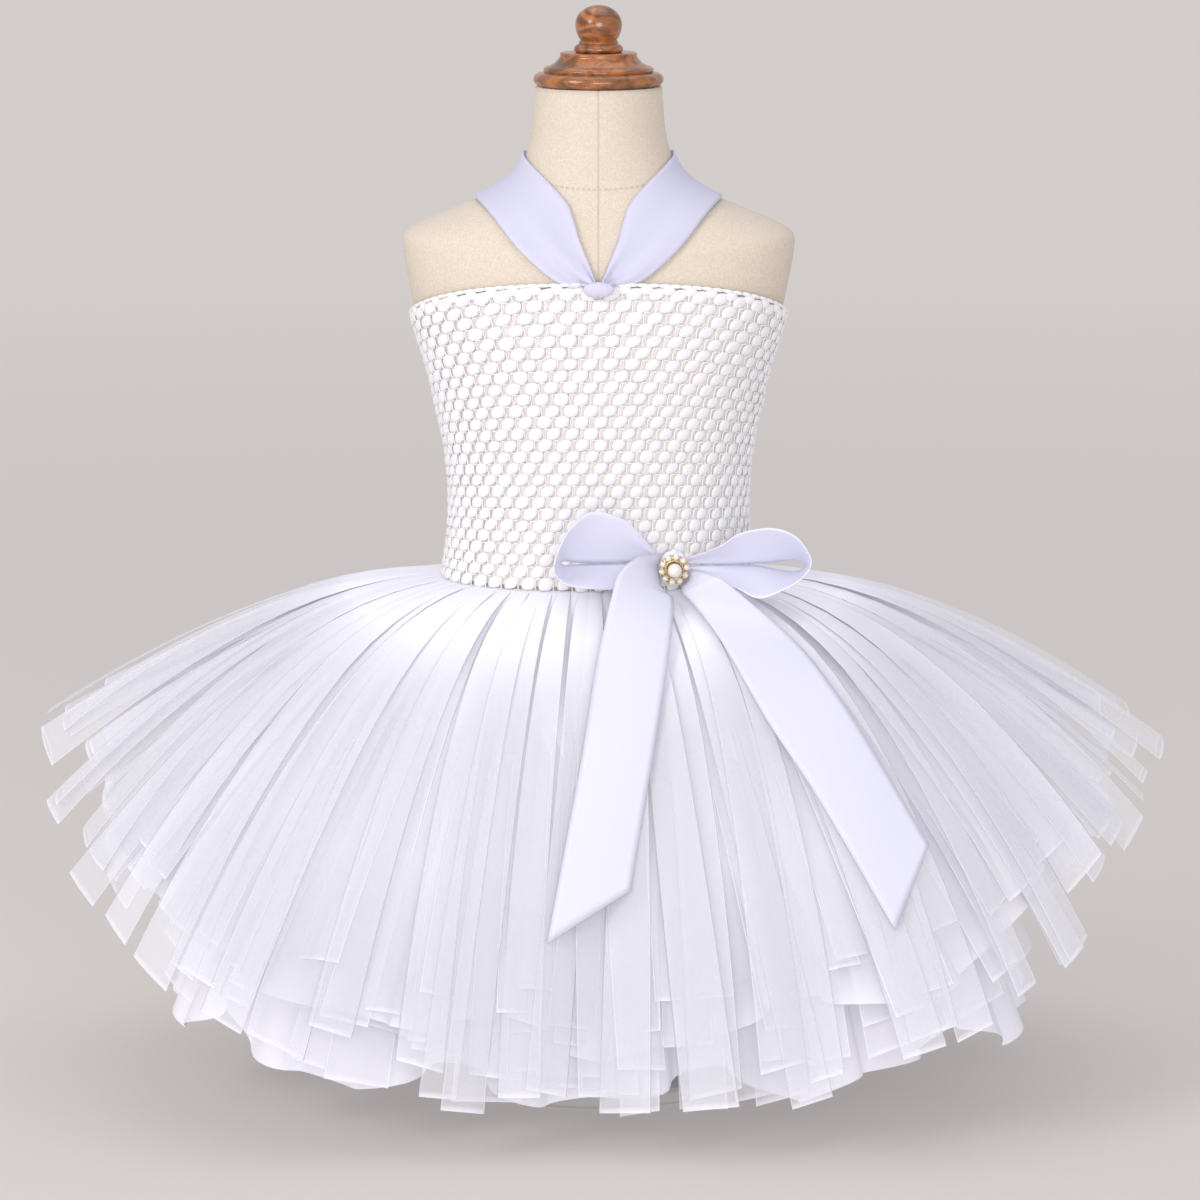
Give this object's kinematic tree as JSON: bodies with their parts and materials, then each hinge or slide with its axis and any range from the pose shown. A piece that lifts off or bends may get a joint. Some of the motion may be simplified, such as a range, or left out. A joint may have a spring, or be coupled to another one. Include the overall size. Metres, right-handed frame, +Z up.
{
  "type": "child's tulle tutu dress on a dress form",
  "caption": "Crochet tube bodice with satin halter, knotted tulle strip skirt and satin ribbon bow, worn by a limbless linen dress form with a turned wooden cap on a disc stand.",
  "frame": {"origin": "on the floor, at the centre of the stand's disc, under the middle of the neck", "axes": "+Z up, the dress's front faces -Y, +X to the viewer's right"},
  "size_m": [0.6484, 0.4293, 0.6118],
  "materials": {
    "stand": "satin white paint",
    "linen": "natural linen stretched over the form",
    "turned_wood": "varnished",
    "crochet": "soft elastic crochet",
    "tulle": "soft fine net",
    "satin": "single-face satin ribbon",
    "gilt": "pale gilt",
    "pearl": "imitation pearl"
  },
  "bodies": {
    "root": {"form_base": "stand", "form_post": "stand", "form_torso": "linen", "form_cap": "turned_wood", "bodice": "crochet", "tulle_outer": "tulle", "tulle_middle": "tulle", "tulle_inner": "tulle", "halter_left": "satin", "halter_right": "satin", "halter_knot": "satin", "nape_knot": "satin", "nape_tail_left": "satin", "nape_tail_right": "satin", "bow_loop_left": "satin", "bow_loop_right": "satin", "bow_tail_left": "satin", "bow_tail_right": "satin", "bow_knot": "satin", "brooch_setting": "gilt", "brooch_pearl": "pearl"}
  },
  "joints": []
}
